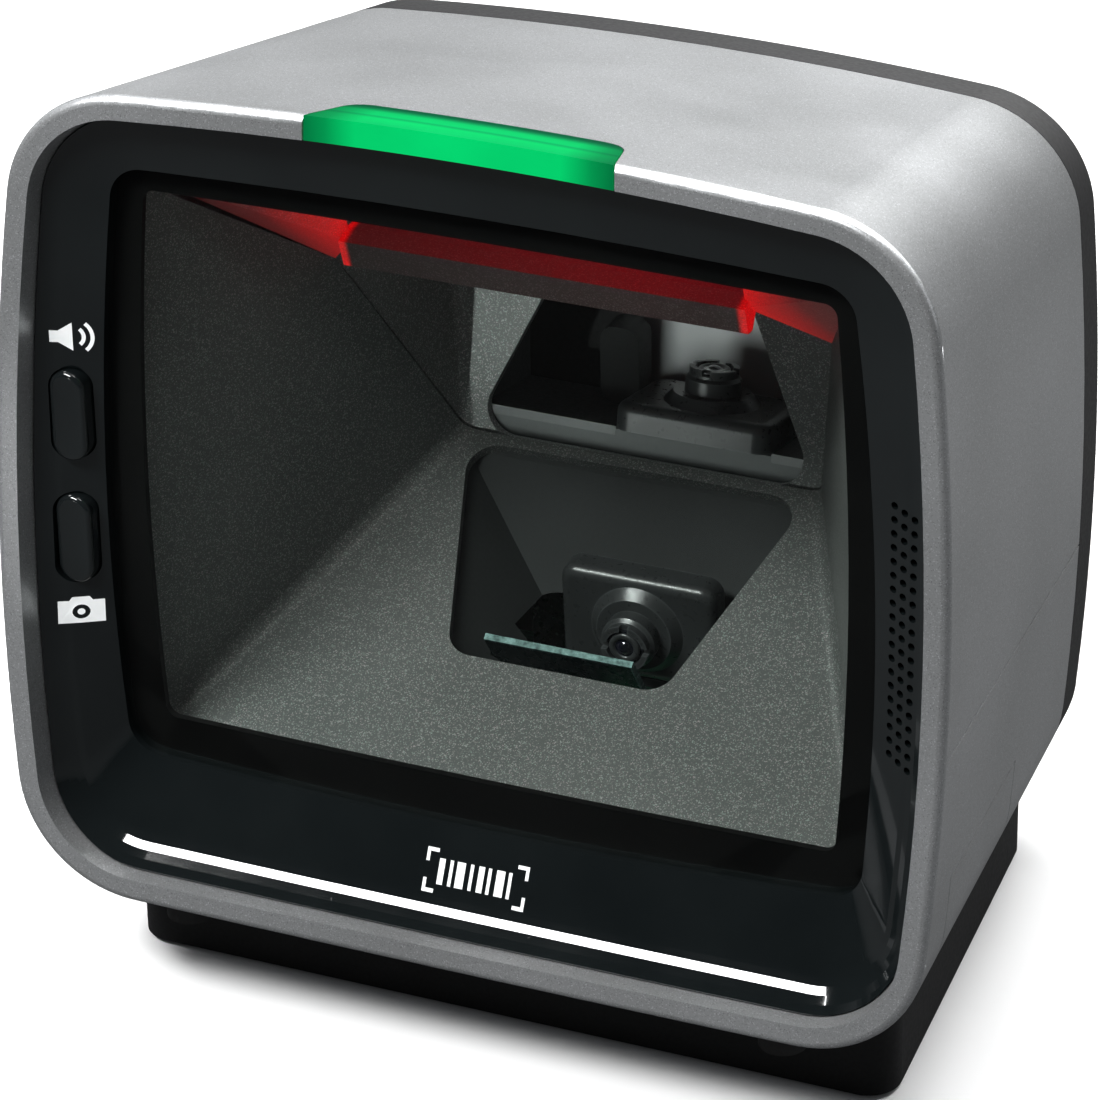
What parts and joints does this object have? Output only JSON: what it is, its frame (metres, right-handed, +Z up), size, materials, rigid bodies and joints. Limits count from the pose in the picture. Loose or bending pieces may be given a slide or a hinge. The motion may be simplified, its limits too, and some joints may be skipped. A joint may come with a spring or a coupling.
{
  "type": "presentation barcode scanner",
  "caption": "Upright counter scanner: tapered metallic housing with a window over a scan cavity holding camera modules, a status light, push buttons and a weighted base.",
  "frame": {"origin": "centre of the resting face under the base", "axes": "+Z up, -Y towards the customer (the scan window), +X to the right seen from the front"},
  "size_m": [0.1444, 0.0979, 0.1463],
  "materials": {
    "housing_paint": "silver metallic paint on plastic",
    "black_plastic": "fine texture",
    "gloss_bezel": "polished",
    "clear_glass": "polished",
    "green_diffuser": "translucent",
    "cavity_plastic": "metallic flake, fine texture",
    "green_board": "solder mask",
    "red_lens": "translucent",
    "camera_plastic": "satin",
    "mirror_glass": "polished",
    "grey_plastic": "satin",
    "gloss_button": "polished",
    "steel": "bright",
    "base_plastic": "fine texture",
    "rubber_pad": "matte",
    "ballast_iron": "raw"
  },
  "bodies": {
    "body": {"ballast": "ballast_iron", "base": "base_plastic", "base_plate": "base_plastic", "bay_backing": "grey_plastic", "bay_block": "black_plastic", "board_chips": "camera_plastic", "board_posts": "black_plastic", "board_screws": "steel", "button_board": "green_board", "fold_mirror": "mirror_glass", "foot_pad": "rubber_pad", "front_bezel": "gloss_bezel", "front_bumpers": "rubber_pad", "green_lamps": "green_diffuser", "lamp_board": "green_board", "light_hood": "cavity_plastic", "lower_bay": "black_plastic", "lower_camera_barrel": "camera_plastic", "lower_camera_housing": "camera_plastic", "lower_camera_lens": "clear_glass", "lower_tray": "housing_paint", "main_board": "green_board", "main_housing": "housing_paint", "neck_screws": "steel", "rear_cover": "black_plastic", "rear_screws": "steel", "red_lamps": "red_lens", "scan_tub": "cavity_plastic", "sensor_boards": "green_board", "sockets": "steel", "speaker": "black_plastic", "status_board": "green_board", "status_light": "green_diffuser", "switches": "camera_plastic", "upper_bay": "black_plastic", "upper_camera_barrel": "camera_plastic", "upper_camera_housing": "camera_plastic", "upper_camera_lens": "clear_glass", "upper_wall": "cavity_plastic", "window_frame": "black_plastic", "window_glass": "clear_glass"},
    "volume_key": {"button_volume": "gloss_button", "plunger_volume": "grey_plastic"},
    "camera_key": {"button_camera": "gloss_button", "plunger_camera": "grey_plastic"}
  },
  "joints": [
    {"name": "volume_press", "type": "slide", "parent": "body", "child": "volume_key", "axis": [0, 1, 0], "range_m": [0, 0.0008], "stiffness_N_per_m": 1500},
    {"name": "camera_press", "type": "slide", "parent": "body", "child": "camera_key", "axis": [0, 1, 0], "range_m": [0, 0.0008], "stiffness_N_per_m": 1500}
  ]
}
